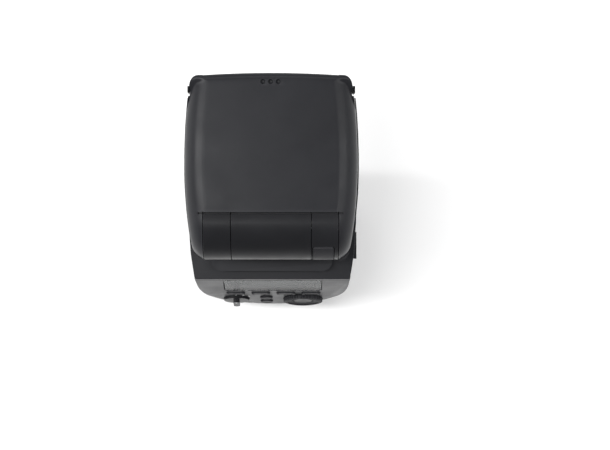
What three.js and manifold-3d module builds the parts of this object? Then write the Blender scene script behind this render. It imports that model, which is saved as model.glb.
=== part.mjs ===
// Speedlight flash: a bounce-and-swivel head on a yoke, a body with four AA cells, and a hot-shoe foot.
// Millimetres. +Z is up, the lens faces -Y, and the origin is the centre of the foot's sole.
import * as THREE from "three";
import { mergeVertices } from "three/addons/utils/BufferGeometryUtils.js";
import Module from "manifold-3d";

const wasm = await Module();
wasm.setup();

// ---- Driving dimensions -------------------------------------------------------------------------
const GAP = 0.3; // between neighbouring pieces
const WALL = 1.8; // shell thickness

const SOLE_THICKNESS = 2.0;
const SOLE_WIDTH = 18.6; // hot-shoe plate
const SOLE_LENGTH = 18;
const NECK_WIDTH = 12.4;
const NECK_TOP = 4.4; // the shoe's rails fill the space between sole and lever
const LEVER_BOTTOM = 4.7;
const LEVER_TOP = 7.9;
const LEVER_SWING = 44; // degrees from free to locked
const FOOT_CORE_RADIUS = 10.6;
const LEVER_RADIUS = 14.8;
const FOOT_WIDTH = 34;
const FOOT_FRONT = -18;
const FOOT_REAR = 19;
const PIN_TIP = -0.8;
const LOCK_PIN_Y = -6.4;

const BODY_BOTTOM = 15;
const BODY_TOP = 71.5;
const BODY_FRONT = -25;
const BODY_REAR = 36.4;
const BODY_HALF_WIDTH = 35.8;
const BODY_CORNER_HALF = 32;
const PANEL_FOOT = [36, 22]; // y, z of the control panel's lower edge
const PANEL_HEAD = [24, BODY_TOP];
const SPLIT_Y = 2; // front and rear shells meet here
const DECK_THICKNESS = 2.2;

const DOOR_FRONT = -18.5; // hinge line of the battery cover
const DOOR_REAR = 20;
const DOOR_TOP = 66;
const DOOR_SKIN = 2.0;
const DOOR_INNER_X = -28.6;
const KNUCKLE_RADIUS = 2.0;
const DOOR_HINGE_X = -32.0;

const CELL_RADIUS = 7.2;
const CELL_PITCH = 15;
const CELL_BOTTOM = 17.95;
const CELL_BODY = 49.2;
const FIRST_CELL = [-23.2, -9.4]; // x, y of the cell nearest the battery cover's hinge
const TERMINAL_RADIUS = 2.6;

const SPIGOT_RADIUS = 9.7; // the yoke turns on this spigot in the deck's ring
const RING_RADIUS = 13.7;
const YOKE_TOP = 75;
const YOKE_BOTTOM = 71.9;
const YOKE_HALF_WIDTH = 25.5;
const YOKE_HALF_DEPTH = 20.5;

const TILT_Z = 99.3;
const DRUM_RADIUS = 15.2;
const DRUM_HALF = 27.4; // drum with both end segments
const SEAM_LEFT = 16.2;
const SEAM_RIGHT = -16.5;
const AXLE_RADIUS = 3;

const HEAD_BOTTOM = 75.4;
const HEAD_TOP = 115;
const HEAD_FRONT = -60.8;
const HEAD_PARTING = 93;
const HEAD_HALF_WIDTH = 35.8;
const BEZEL_DEPTH = 9.3;
const BEZEL_HALF_WIDTH = 33.4;
const LENS_HALF_WIDTH = 28.2;
const LENS_Z = [80.2, 106.6];
const SLOT_Z = [108.0, 110.9]; // wide panel and catchlight panel slide out of this slot
const SLOT_HALF_WIDTH = 26.6;
const ROOF = 2.9; // thickness of the roof over the lens frame
const dimples = { x: [-3.1, 0, 3.1], y: -57, radius: 1, depth: 1.3 };
const adapterLug = { y: [-56.4, -53.6], z: [86, 98], proud: 1.2 };

const ARC = 20; // segments of a small round piece

// ---- Materials ----------------------------------------------------------------------------------
const finish = (color, roughness, metalness = 0) =>
  new THREE.MeshStandardMaterial({ color, roughness, metalness });
const blackPlastic = finish(0x232327, 0.55);
const satinPlastic = finish(0x1c1c20, 0.4);
const buttonRubber = finish(0x2c2c30, 0.7);
const steel = finish(0xb8bcc0, 0.3, 0.9);
const brass = finish(0xc9a95a, 0.3, 0.9);
const clearPlastic = finish(0xdfe8ea, 0.12);
const whitePlastic = finish(0xeeeeea, 0.5);
const redLens = finish(0x5a0a0c, 0.15);
const displayGlass = finish(0x30363a, 0.1);
const displayCell = finish(0x8a9a86, 0.4);
const boardGreen = finish(0x1f5a34, 0.5);
const cellWrap = finish(0xd8d4c8, 0.35);
const canBlack = finish(0x16161c, 0.35);
const reflectorSilver = finish(0xe2e4e6, 0.12, 0.9);

// ---- Solids -------------------------------------------------------------------------------------
// A closed three.js geometry as a manifold solid.
function solid(geometry) {
  const bare = geometry.clone();
  for (const name of Object.keys(bare.attributes)) {
    if (name !== "position") bare.deleteAttribute(name);
  }
  const merged = mergeVertices(bare, 1e-4);
  const vertProperties = new Float32Array(merged.attributes.position.array);
  const triVerts = new Uint32Array(merged.index.array);
  return new wasm.Manifold(new wasm.Mesh({ numProp: 3, vertProperties, triVerts }));
}

// A manifold solid as a flat-shaded three.js geometry.
function geometryOf(shape) {
  const { vertProperties, triVerts } = shape.getMesh();
  const geometry = new THREE.BufferGeometry();
  geometry.setAttribute("position", new THREE.BufferAttribute(new Float32Array(vertProperties), 3));
  geometry.setIndex(new THREE.BufferAttribute(new Uint32Array(triVerts), 1));
  const flat = geometry.toNonIndexed();
  flat.computeVertexNormals();
  return flat;
}

const flatBasis = (x, y, z) =>
  new THREE.Matrix4().makeBasis(
    new THREE.Vector3(...x),
    new THREE.Vector3(...y),
    new THREE.Vector3(...z),
  );
const ALONG_X = flatBasis([0, 1, 0], [0, 0, 1], [1, 0, 0]); // outline drawn in (y, z)
const ALONG_Y = flatBasis([1, 0, 0], [0, 0, 1], [0, -1, 0]); // outline drawn in (x, z)

function extruded(shape, depth, segments) {
  return new THREE.ExtrudeGeometry(shape, { depth, bevelEnabled: false, curveSegments: segments });
}
const extrudeZ = (shape, z0, z1, segments = 6) =>
  solid(extruded(shape, z1 - z0, segments).translate(0, 0, z0));
const extrudeX = (shape, x0, x1, segments = 6) =>
  solid(extruded(shape, x1 - x0, segments).applyMatrix4(ALONG_X).translate(x0, 0, 0));
const extrudeY = (shape, y0, y1, segments = 6) =>
  solid(extruded(shape, y1 - y0, segments).applyMatrix4(ALONG_Y).translate(0, y1, 0));

function box(x0, x1, y0, y1, z0, z1) {
  const geometry = new THREE.BoxGeometry(x1 - x0, y1 - y0, z1 - z0);
  return solid(geometry.translate((x0 + x1) / 2, (y0 + y1) / 2, (z0 + z1) / 2));
}
function barZ(radius, z0, z1, x = 0, y = 0, segments = ARC) {
  const geometry = new THREE.CylinderGeometry(radius, radius, z1 - z0, segments);
  return solid(geometry.rotateX(Math.PI / 2).translate(x, y, (z0 + z1) / 2));
}
function barX(radius, x0, x1, y, z, segments = ARC) {
  const geometry = new THREE.CylinderGeometry(radius, radius, x1 - x0, segments);
  return solid(geometry.rotateZ(Math.PI / 2).translate((x0 + x1) / 2, y, z));
}
function barY(radius, y0, y1, x, z, segments = ARC) {
  const geometry = new THREE.CylinderGeometry(radius, radius, y1 - y0, segments);
  return solid(geometry.translate(x, (y0 + y1) / 2, z));
}
// A solid of revolution about Z through (x, y); the profile's [radius, z] pairs start and end on the axis.
function turned(profile, x = 0, y = 0) {
  const points = profile.map(([r, z]) => new THREE.Vector2(r, z));
  return solid(new THREE.LatheGeometry(points, ARC).rotateX(Math.PI / 2).translate(x, y, 0));
}

function polygon(points) {
  return new THREE.Shape(points.map(([u, v]) => new THREE.Vector2(u, v)));
}
function roundedRect(u0, u1, v0, v1, r) {
  const shape = new THREE.Shape();
  shape.absarc(u1 - r, v0 + r, r, -Math.PI / 2, 0);
  shape.absarc(u1 - r, v1 - r, r, 0, Math.PI / 2);
  shape.absarc(u0 + r, v1 - r, r, Math.PI / 2, Math.PI);
  shape.absarc(u0 + r, v0 + r, r, Math.PI, Math.PI * 1.5);
  return shape;
}

// An outline that is symmetric about u = 0. The steps run up the right side from (0, start), each a line
// to [u, v] or a curve [control u, control v, u, v]; the left side is the same run mirrored.
function symmetric(start, steps) {
  const shape = new THREE.Shape();
  const draw = (step) => (step.length === 2 ? shape.lineTo(...step) : shape.quadraticCurveTo(...step));
  shape.moveTo(0, start);
  steps.forEach(draw);
  const ends = [[0, start], ...steps.map((step) => step.slice(-2))];
  const [lastU, lastV] = ends.at(-1);
  if (lastU > 0) shape.lineTo(-lastU, lastV);
  for (let i = steps.length - 1; i > 0; i--) {
    const control = steps[i].slice(0, -2);
    const [u, v] = ends[i];
    draw(control.length ? [-control[0], control[1], -u, v] : [-u, v]);
  }
  const [first] = steps;
  if (first.length === 4) draw([-first[0], first[1], 0, start]);
  return shape;
}

const part = new THREE.Group();
function add(name, shape, material, group = part) {
  const mesh = new THREE.Mesh(geometryOf(shape), material);
  mesh.name = name;
  group.add(mesh);
  return mesh;
}

// ---- Foot ---------------------------------------------------------------------------------------
const contacts = [
  ["contact_pin_centre", 0, -1.9, 1.2],
  ["contact_pin_1", 3.1, 0.9, 0.7],
  ["contact_pin_2", -3.1, 0.9, 0.7],
  ["contact_pin_3", 1.8, 3.6, 0.7],
  ["contact_pin_4", -1.8, 3.6, 0.7],
];
const screwPlaces = [
  [4.5, 7.6],
  [-4.5, 7.6],
  [4.5, -6.6],
  [-4.5, -6.6],
];
const SCREW_HEAD = 1.2;
const SCREW_SHANK = 0.8;
const SCREW_TIP = 7.5;
const LOCK_PIN_RADIUS = 1.0;
const LOCK_PIN_TOP = 10.4;
const LOCK_PIN_ROOM = 12.2; // the pin is driven from above by the lever
const LEVER_ARM = { half: 3.6, start: 13.2, end: 24, lugTop: 9.2 };
const unlockKey = { x: [-13.1, -6.5], y: [15.4, 19.9], z: [9.6, 12.8] };
const INSULATOR = { halfWidth: 4.6, front: -4.3, rear: 5.75, top: 7.0 };

function makeFoot() {
  const half = SOLE_WIDTH / 2;
  const front = -SOLE_LENGTH / 2;
  const rear = SOLE_LENGTH / 2;
  const window = (clearance, z0, z1) =>
    box(
      -INSULATOR.halfWidth - clearance,
      INSULATOR.halfWidth + clearance,
      INSULATOR.front - clearance,
      INSULATOR.rear + clearance,
      z0,
      z1,
    );

  let plate = extrudeZ(roundedRect(-half, half, front, rear, 2), 0, SOLE_THICKNESS, 3);
  const neck = roundedRect(-NECK_WIDTH / 2, NECK_WIDTH / 2, front + 0.6, rear, 1);
  plate = plate.add(extrudeZ(neck, SOLE_THICKNESS - 0.5, NECK_TOP, 2));
  plate = plate.subtract(window(GAP / 2, -1, NECK_TOP + 1));
  for (const [x, y] of screwPlaces) {
    plate = plate.subtract(barZ(SCREW_HEAD + 0.15, -1, 1.5, x, y));
    plate = plate.subtract(barZ(SCREW_SHANK + 0.15, 0, NECK_TOP + 1, x, y, 12));
  }
  plate = plate.subtract(barZ(LOCK_PIN_RADIUS + GAP, -1, NECK_TOP + 1, 0, LOCK_PIN_Y, 12));
  add("foot_plate", plate, steel);

  let block = window(0, 0, INSULATOR.top);
  for (const [, x, y, r] of contacts) block = block.subtract(barZ(r + GAP, -1, 5.9, x, y, 12));
  add("foot_insulator", block, satinPlastic);

  for (const [name, x, y, r] of contacts) {
    const profile = [
      [0, PIN_TIP],
      [r * 0.6, PIN_TIP + 0.08],
      [r, PIN_TIP + 0.5],
      [r, 4.6],
      [0, 4.6],
    ];
    add(name, turned(profile, x, y), brass);
  }

  screwPlaces.forEach(([x, y], i) => {
    const profile = [
      [0, 0.3],
      [SCREW_HEAD, 0.3],
      [SCREW_HEAD, 1.35],
      [SCREW_SHANK, 1.4],
      [SCREW_SHANK, SCREW_TIP],
      [0, SCREW_TIP],
    ];
    add("foot_screw_" + (i + 1), turned(profile, x, y), steel);
  });

  // The housing carries the lever's turning core; the lever ring turns between it and the sole.
  const outer = roundedRect(-FOOT_WIDTH / 2, FOOT_WIDTH / 2, FOOT_FRONT, FOOT_REAR, 9);
  let housing = extrudeZ(outer, LEVER_TOP + GAP, BODY_BOTTOM - GAP, 5);
  housing = housing.add(barZ(FOOT_CORE_RADIUS, LEVER_BOTTOM, LEVER_TOP + 1, 0, 0, 28));
  housing = housing.subtract(window(GAP / 2, 0, INSULATOR.top + GAP));
  for (const [x, y] of screwPlaces) {
    housing = housing.subtract(barZ(SCREW_SHANK + 0.15, 0, SCREW_TIP + GAP, x, y, 12));
  }
  housing = housing.subtract(barZ(LOCK_PIN_RADIUS + GAP, 0, LOCK_PIN_ROOM, 0, LOCK_PIN_Y, 12));
  const [keyX, keyY, keyZ] = [unlockKey.x, unlockKey.y, unlockKey.z];
  housing = housing.subtract(
    box(keyX[0] - GAP, keyX[1] + GAP, keyY[0] - 1.4, FOOT_REAR + 1, keyZ[0] - GAP, keyZ[1] + GAP),
  );
  add("foot_housing", housing, blackPlastic);

  // The pin's end hides in the sole until the lever drives it down.
  add("lock_pin", barZ(LOCK_PIN_RADIUS, 0.2, LOCK_PIN_TOP, 0, LOCK_PIN_Y, 16), steel);

  // The lever ring, with a grip that reaches out behind the body, drawn in its free position.
  const ring = new THREE.Shape().absarc(0, 0, LEVER_RADIUS, 0, Math.PI * 2);
  ring.holes.push(new THREE.Path().absarc(0, 0, FOOT_CORE_RADIUS + GAP, 0, Math.PI * 2, true));
  let lever = extrudeZ(ring, LEVER_BOTTOM, LEVER_TOP, 16);
  const { half: armHalf, start, end, lugTop } = LEVER_ARM;
  lever = lever.add(box(-armHalf, armHalf, start, end, LEVER_BOTTOM, LEVER_TOP));
  const lug = polygon([[end - 2.4, 5], [end, 5], [end, lugTop], [end - 1.8, lugTop]]);
  lever = lever.add(extrudeX(lug, -armHalf, armHalf));
  const free = new THREE.Group();
  free.rotation.z = THREE.MathUtils.degToRad(-LEVER_SWING / 2);
  part.add(free);
  add("lock_lever", lever, satinPlastic, free);

  add("lock_release_button", box(...keyX, ...keyY, ...keyZ), buttonRubber);
}

// ---- Body ---------------------------------------------------------------------------------------
// The body's plan outline, moved inwards by inset.
function bodyPlan(inset) {
  const half = BODY_HALF_WIDTH - inset;
  const front = BODY_FRONT + inset;
  const end = BODY_CORNER_HALF - inset;
  const rear = BODY_REAR - inset;
  const corner = 7;
  return symmetric(front, [
    [end - corner, front],
    [end, front, end + 0.9, front + corner],
    [half, -8, half - 0.4, 2],
    [half - 0.6, 12, end, rear - corner - 1.8],
    [end - 0.6, rear - 4.6, end - corner, rear - 2.5],
    [(end - corner) / 2, rear, 0, rear],
  ]);
}

// The body seen from the side: a rounded lower edge and the slanted control panel at the rear.
function bodySide(inset) {
  const [panelFootY, panelFootZ] = PANEL_FOOT;
  const [panelHeadY] = PANEL_HEAD;
  const bottom = BODY_BOTTOM + inset;
  const front = BODY_FRONT + inset;
  const shape = new THREE.Shape();
  shape.moveTo(front + 4, bottom);
  shape.lineTo(panelFootY - 3 - inset, bottom);
  shape.quadraticCurveTo(panelFootY - inset, bottom, panelFootY - inset, panelFootZ);
  shape.lineTo(panelHeadY - inset, BODY_TOP);
  shape.lineTo(front, BODY_TOP);
  shape.lineTo(front, bottom + 4);
  shape.quadraticCurveTo(front, bottom, front + 4, bottom);
  return shape;
}
function bodySolid(inset, top = BODY_TOP) {
  const plan = extrudeZ(bodyPlan(inset), BODY_BOTTOM - 1, top, 7);
  return plan.intersect(extrudeX(bodySide(inset), -50, 50, 4));
}

// The control panel's own frame: x to the right as seen from behind, y up the slope, z out of it.
const panelSlope = Math.atan2(PANEL_FOOT[0] - PANEL_HEAD[0], PANEL_HEAD[1] - PANEL_FOOT[1]);
const panel = new THREE.Group();
panel.position.set(0, (PANEL_FOOT[0] + PANEL_HEAD[0]) / 2, (PANEL_FOOT[1] + PANEL_HEAD[1]) / 2);
panel.rotation.set(Math.PI / 2 - panelSlope, 0, Math.PI, "ZXY");
part.add(panel);
panel.updateMatrix();
const inPanel = (shape) => solid(geometryOf(shape).applyMatrix4(panel.matrix));

const display = { x: [-21, 21], y: [1.5, 22], corner: 2 };
const functionButtonX = [-16.5, -5.5, 5.5, 16.5];
const dialPlace = [13, -16];
const powerPlace = [-16.5, -15.5];
const testPlace = [-3.2, -12.4];
const wirelessPlace = [-3.2, -20.2];
const DIAL_RADIUS = 8.6;
const SET_RADIUS = 4.4;
const POWER_RADIUS = 5.6;
const CAP_RADIUS = 2.7;

function panelHoles() {
  const deep = -5;
  const [[x0, x1], [y0, y1]] = [display.x, display.y];
  let holes = extrudeZ(roundedRect(x0 - GAP, x1 + GAP, y0 - GAP, y1 + GAP, 2), deep, 3, 3);
  for (const x of functionButtonX) {
    holes = holes.add(box(x - 4.3, x + 4.3, -5.3, -1.5, deep, 3));
  }
  const round = [
    [dialPlace, DIAL_RADIUS],
    [powerPlace, POWER_RADIUS],
    [testPlace, CAP_RADIUS],
    [wirelessPlace, CAP_RADIUS],
  ];
  for (const [[x, y], r] of round) holes = holes.add(barZ(r + GAP, deep, 3, x, y, 24));
  return inPanel(holes);
}

function makePanelPieces() {
  const [[x0, x1], [y0, y1]] = [display.x, display.y];
  const pane = roundedRect(x0, x1, y0, y1, display.corner);
  add("lcd_window", extrudeZ(pane, -1.3, -0.1, 3), displayGlass, panel);
  add("lcd_panel", box(x0 + 1, x1 - 1, y0 + 1, y1 - 1, -3.2, -1.6), displayCell, panel);
  functionButtonX.forEach((x, i) => {
    const cap = extrudeZ(roundedRect(x - 4, x + 4, -5, -1.8, 1.2), -2.6, 0.7, 3);
    add("function_button_" + (i + 1), cap, buttonRubber, panel);
  });

  const [dx, dy] = dialPlace;
  let dial = barZ(DIAL_RADIUS, -1.8, 1.5, dx, dy, 32);
  dial = dial.subtract(barZ(SET_RADIUS + GAP, -3, 3, dx, dy, 24));
  add("select_dial", dial, buttonRubber, panel);
  add("set_button", barZ(SET_RADIUS, -2.4, 1.1, dx, dy, 24), satinPlastic, panel);

  const [px, py] = powerPlace;
  let power = barZ(POWER_RADIUS, -1.8, 1.0, px, py, 24);
  power = power.add(box(px - 1.3, px + 1.3, py - 4.4, py + 4.4, 0.5, 2.8));
  add("power_lever", power, satinPlastic, panel);

  const caps = [
    ["test_button", testPlace],
    ["wireless_button", wirelessPlace],
  ];
  for (const [name, [x, y]] of caps) {
    add(name, barZ(CAP_RADIUS, -2.4, 0.8, x, y), buttonRubber, panel);
  }
  add("control_board", box(-26, 26, -22, 19, -6.2, -4.8), boardGreen, panel);
}

// The space of the battery cover and its knuckle, grown by clearance, through the side wall.
const doorSpace = (clearance) =>
  box(-60, DOOR_INNER_X + clearance, DOOR_FRONT, DOOR_REAR + clearance, 0, DOOR_TOP + clearance).add(
    barZ(KNUCKLE_RADIUS + clearance, 0, DOOR_TOP + clearance, DOOR_HINGE_X, DOOR_FRONT, 16),
  );

function makeDoor() {
  const skin = bodySolid(0).subtract(bodySolid(DOOR_SKIN));
  const knuckle = barZ(KNUCKLE_RADIUS, 20, DOOR_TOP, DOOR_HINGE_X, DOOR_FRONT, 16);
  const bothParts = skin.intersect(box(-60, DOOR_INNER_X, DOOR_FRONT, DOOR_REAR, 0, DOOR_TOP)).add(
    knuckle.intersect(bodySolid(0)),
  );
  const pinHole = barZ(1.0, 0, 80, DOOR_HINGE_X, DOOR_FRONT, 12);
  add("battery_door", bothParts.subtract(pinHole), blackPlastic);
  add("door_hinge_pin", barZ(0.7, 20.5, 67, DOOR_HINGE_X, DOOR_FRONT, 12), steel);
}

function makeBody() {
  const outer = bodySolid(0);
  const pinSocket = barZ(1.0, 60, 68, DOOR_HINGE_X, DOOR_FRONT, 12);
  const shell = outer
    .subtract(bodySolid(WALL))
    .subtract(doorSpace(GAP))
    .subtract(pinSocket)
    .subtract(panelHoles());
  const deckBottom = BODY_TOP - DECK_THICKNESS;
  const slice = (y0, y1) => shell.intersect(box(-60, 60, y0, y1, 0, deckBottom - GAP));
  const lampHole = extrudeY(roundedRect(-12.3, 12.3, 32.7, 47.3, 3), -30, -20, 4);
  add("front_shell", slice(-60, SPLIT_Y - GAP / 2).subtract(lampHole), blackPlastic);
  add("rear_shell", slice(SPLIT_Y + GAP / 2, 60), blackPlastic);

  // The deck holds the steel ring that the yoke's spigot turns in.
  const spigotRoom = barZ(SPIGOT_RADIUS + GAP, 60, 80, 0, 0, 28);
  const ringSeat = barZ(RING_RADIUS + GAP, 70.2, 80, 0, 0, 28);
  const deck = outer.intersect(box(-60, 60, -60, 60, deckBottom, 80));
  add("top_deck", deck.subtract(spigotRoom).subtract(ringSeat), blackPlastic);
  add("swivel_ring", barZ(RING_RADIUS, 70.5, 71.4, 0, 0, 28).subtract(spigotRoom), steel);

  const lamp = roundedRect(-12, 12, 33, 47, 2.7);
  add("focus_lamp_window", extrudeY(lamp, BODY_FRONT - 0.4, BODY_FRONT + 1.6, 4), redLens);
  add("focus_lamp_led", barY(3.5, -22.9, -18.6, 0, 40), whitePlastic);
}

function makeInside() {
  const cellX = [FIRST_CELL[0], FIRST_CELL[0] + CELL_PITCH];
  const cellY = [FIRST_CELL[1], FIRST_CELL[1] + CELL_PITCH];
  const cellRoom = CELL_RADIUS + 0.4;
  const trayEast = cellX[1] + cellRoom;
  const trayFront = cellY[0] - cellRoom;
  const trayRear = cellY[1] + cellRoom;
  const trayWall = 1.1;
  const trayWest = -28;
  const trayTop = CELL_BOTTOM + CELL_BODY + 0.85;
  const tray = box(trayWest, trayEast + trayWall, trayFront - trayWall, trayRear + trayWall, 17.2, trayTop);
  const room = box(-60, trayEast, trayFront, trayRear, CELL_BOTTOM - GAP, 80);
  add("battery_tray", tray.subtract(room), blackPlastic);
  let count = 0;
  for (const x of cellX) {
    for (const y of cellY) {
      count += 1;
      const bodyTop = CELL_BOTTOM + CELL_BODY;
      const profile = [
        [0, CELL_BOTTOM],
        [CELL_RADIUS, CELL_BOTTOM],
        [CELL_RADIUS, bodyTop],
        [TERMINAL_RADIUS, bodyTop],
        [TERMINAL_RADIUS, bodyTop + 1],
        [0, bodyTop + 1],
      ];
      add("aa_cell_" + count, turned(profile, x, y), cellWrap);
    }
  }
  const plate = box(trayWest, trayEast, trayFront, trayRear, trayTop + GAP, trayTop + 0.8);
  add("battery_contact_plate", plate, steel);
  add("main_capacitor", barZ(12.4, 18.5, 66.5, 17.5, -7.5, 28), canBlack);
  add("main_board", box(-25, 29, 16.2, 17.8, 19, 66), boardGreen);
}

// ---- Yoke ---------------------------------------------------------------------------------------
const RELEASE_ANGLE = THREE.MathUtils.degToRad(15); // the button faces back and a little up
const RELEASE_X = [-25.6, -17.2];
const RELEASE_HEIGHT = 14.4;
const NECK = { half: 27, front: -13, rear: 15, top: 92 }; // joins the yoke's plate to the drum

// A block in the button's direction: along x, then across and out along the pressing direction.
function releaseBlock(clearance, depth) {
  const [x0, x1] = RELEASE_X;
  const size = [x1 - x0 + 2 * clearance, 10, RELEASE_HEIGHT + 2 * clearance];
  const geometry = new THREE.BoxGeometry(...size).translate((x0 + x1) / 2, depth + size[1] / 2, 0);
  return solid(geometry.rotateX(RELEASE_ANGLE).translate(0, 0, TILT_Z));
}

function makeYoke() {
  const base = roundedRect(
    -YOKE_HALF_WIDTH,
    YOKE_HALF_WIDTH,
    -YOKE_HALF_DEPTH,
    YOKE_HALF_DEPTH,
    6,
  );
  let yoke = extrudeZ(base, YOKE_BOTTOM, YOKE_TOP, 4);
  const neck = roundedRect(-NECK.half, NECK.half, NECK.front, NECK.rear, 3);
  yoke = yoke.add(extrudeZ(neck, YOKE_TOP - 1, NECK.top, 3));
  yoke = yoke.subtract(barX(DRUM_RADIUS + GAP, -40, 40, 0, TILT_Z, 40));
  yoke = yoke.add(barZ(SPIGOT_RADIUS, 69.6, YOKE_BOTTOM + 1, 0, 0, 28)).subtract(barZ(4, 60, 90, 0, 0, 16));
  add("yoke_base", yoke, blackPlastic);

  const axleHole = barX(AXLE_RADIUS + GAP, -40, 40, 0, TILT_Z);
  const drum = (x0, x1) => barX(DRUM_RADIUS, x0, x1, 0, TILT_Z, 40).subtract(axleHole);
  add("yoke_drum", drum(SEAM_RIGHT + GAP / 2, SEAM_LEFT - GAP / 2), blackPlastic);
  add("drum_cap_left", drum(SEAM_LEFT + GAP / 2, DRUM_HALF), blackPlastic);
  const pocket = releaseBlock(GAP, 9.8);
  add("drum_cap_right", drum(-DRUM_HALF, SEAM_RIGHT - GAP / 2).subtract(pocket), blackPlastic);
  add("tilt_axle", barX(AXLE_RADIUS, -31.6, 31.6, 0, TILT_Z), steel);

  const button = barX(DRUM_RADIUS, RELEASE_X[0], RELEASE_X[1], 0, TILT_Z, 40);
  add("tilt_release_button", button.intersect(releaseBlock(0, 11.3)), satinPlastic);
}

// ---- Head ---------------------------------------------------------------------------------------
// The head's plan outline, with rounded front corners and rounded cheeks.
function headPlan(frontHalf, front) {
  const bow = 0.9;
  const corner = 4;
  return symmetric(front, [
    [frontHalf * 0.5, front, frontHalf - corner, front + bow],
    [frontHalf, front + bow, frontHalf, front + bow + corner],
    [HEAD_HALF_WIDTH + 0.9, -25, 33.6, 7],
    [33.2, 13.6, 27, DRUM_RADIUS + 1],
  ]);
}

// The head from the side: near-flat top, sloping underside, round cheeks about the tilt axis.
function headSide() {
  const shape = new THREE.Shape();
  shape.moveTo(HEAD_FRONT + 2, HEAD_BOTTOM + 2.6);
  shape.lineTo(-27, HEAD_BOTTOM);
  shape.lineTo(4.9, TILT_Z - 14.4);
  const start = Math.atan2(-14.4, 4.9);
  shape.absarc(0, TILT_Z, DRUM_RADIUS, start, Math.PI / 2);
  shape.lineTo(-4, HEAD_TOP);
  shape.lineTo(-30, HEAD_TOP);
  shape.quadraticCurveTo(-48, HEAD_TOP, HEAD_FRONT + 1.5, HEAD_TOP - 0.8);
  shape.quadraticCurveTo(HEAD_FRONT, HEAD_TOP - 1, HEAD_FRONT, HEAD_TOP - 3);
  shape.lineTo(HEAD_FRONT, HEAD_BOTTOM + 5);
  shape.quadraticCurveTo(HEAD_FRONT, HEAD_BOTTOM + 2.8, HEAD_FRONT + 2, HEAD_BOTTOM + 2.6);
  return shape;
}

// The head from the front: large shoulders above, smaller ones below.
function headFace(inset) {
  const half = HEAD_HALF_WIDTH + 0.4 - inset;
  const low = HEAD_BOTTOM + inset;
  const high = HEAD_TOP - inset;
  const shoulder = 8 - inset / 2;
  const chin = 5;
  const lean = 1;
  return symmetric(low, [
    [half - chin, low],
    [half - lean / 2, low, half, low + chin],
    [half, HEAD_PARTING],
    [half - lean, high - shoulder],
    [half - lean - 0.6, high, half - lean - shoulder, high],
  ]);
}

function headSolid(halfAtFront, front) {
  return extrudeZ(headPlan(halfAtFront, front), HEAD_BOTTOM - 5, HEAD_TOP + 5, 8)
    .intersect(extrudeX(headSide(), -50, 50, 10))
    .intersect(extrudeY(headFace(0), -90, 40, 6));
}

function makeHeadShells() {
  const outer = headSolid(34.2, HEAD_FRONT);
  const bezelFront = HEAD_FRONT + BEZEL_DEPTH;
  const cavity = extrudeY(headFace(WALL), HEAD_FRONT - 9, -19, 4)
    .intersect(box(-33, 33, -90, 0, HEAD_BOTTOM + 4.2, HEAD_TOP - 2.6))
    .intersect(extrudeZ(headPlan(32.2, HEAD_FRONT - 6), HEAD_BOTTOM, HEAD_TOP, 8));
  const between = DRUM_HALF + GAP;
  const drumRoom = barX(DRUM_RADIUS + GAP, -between, between, 0, TILT_Z, 40)
    .add(box(-between, between, -3.3, 40, TILT_Z - 2, HEAD_TOP + 5))
    .add(box(-between, between, -15.6, 40, HEAD_BOTTOM - 5, TILT_Z - 2));
  const axleRoom = barX(AXLE_RADIUS + GAP, -32, 32, 0, TILT_Z);
  const shell = outer.subtract(cavity).subtract(drumRoom).subtract(axleRoom);

  const bezelRoom = box(-60, 60, -90, bezelFront, 0, HEAD_TOP - ROOF);
  const above = box(-60, 60, -90, 40, HEAD_PARTING + GAP / 2, 130);
  const below = box(-60, 60, -90, 40, 60, HEAD_PARTING - GAP / 2);
  const roofTrim = headSolid(BEZEL_HALF_WIDTH + 0.3, HEAD_FRONT).add(
    box(-60, 60, bezelFront, 60, 0, 130),
  );
  let top = shell.subtract(bezelRoom).intersect(above).intersect(roofTrim);
  for (const x of dimples.x) {
    top = top.subtract(barZ(dimples.radius, HEAD_TOP - dimples.depth, HEAD_TOP + 1, x, dimples.y, 12));
  }
  add("head_top_shell", top, blackPlastic);
  add("head_bottom_shell", shell.subtract(bezelRoom).intersect(below), blackPlastic);

  let bezel = headSolid(BEZEL_HALF_WIDTH, HEAD_FRONT + 0.6);
  bezel = bezel.intersect(box(-60, 60, -90, bezelFront - GAP, 0, HEAD_TOP - ROOF - GAP));
  const [low, high] = LENS_Z;
  const mouth = roundedRect(-LENS_HALF_WIDTH, LENS_HALF_WIDTH, low, high, 2.5);
  bezel = bezel.subtract(extrudeY(mouth, -90, 0, 3));
  const seat = LENS_HALF_WIDTH + 1.4;
  bezel = bezel.subtract(box(-seat, seat, HEAD_FRONT + 2.4, 0, low - 1.2, high + 0.6));
  bezel = bezel.subtract(box(-SLOT_HALF_WIDTH, SLOT_HALF_WIDTH, -90, 0, ...SLOT_Z));
  const lugHalf = BEZEL_HALF_WIDTH + adapterLug.proud;
  const lugs = box(-lugHalf, lugHalf, ...adapterLug.y, ...adapterLug.z);
  const lugInner = BEZEL_HALF_WIDTH - 1;
  bezel = bezel.add(lugs.subtract(box(-lugInner, lugInner, -90, 0, 0, 130)));
  add("lens_bezel", bezel, satinPlastic);

  const lensHalf = seat - GAP;
  const lensFront = HEAD_FRONT + 2.7;
  const lens = box(-lensHalf, lensHalf, lensFront, lensFront + 2, low - 0.9, high + 0.3);
  add("fresnel_lens", lens, clearPlastic);
}

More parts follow.
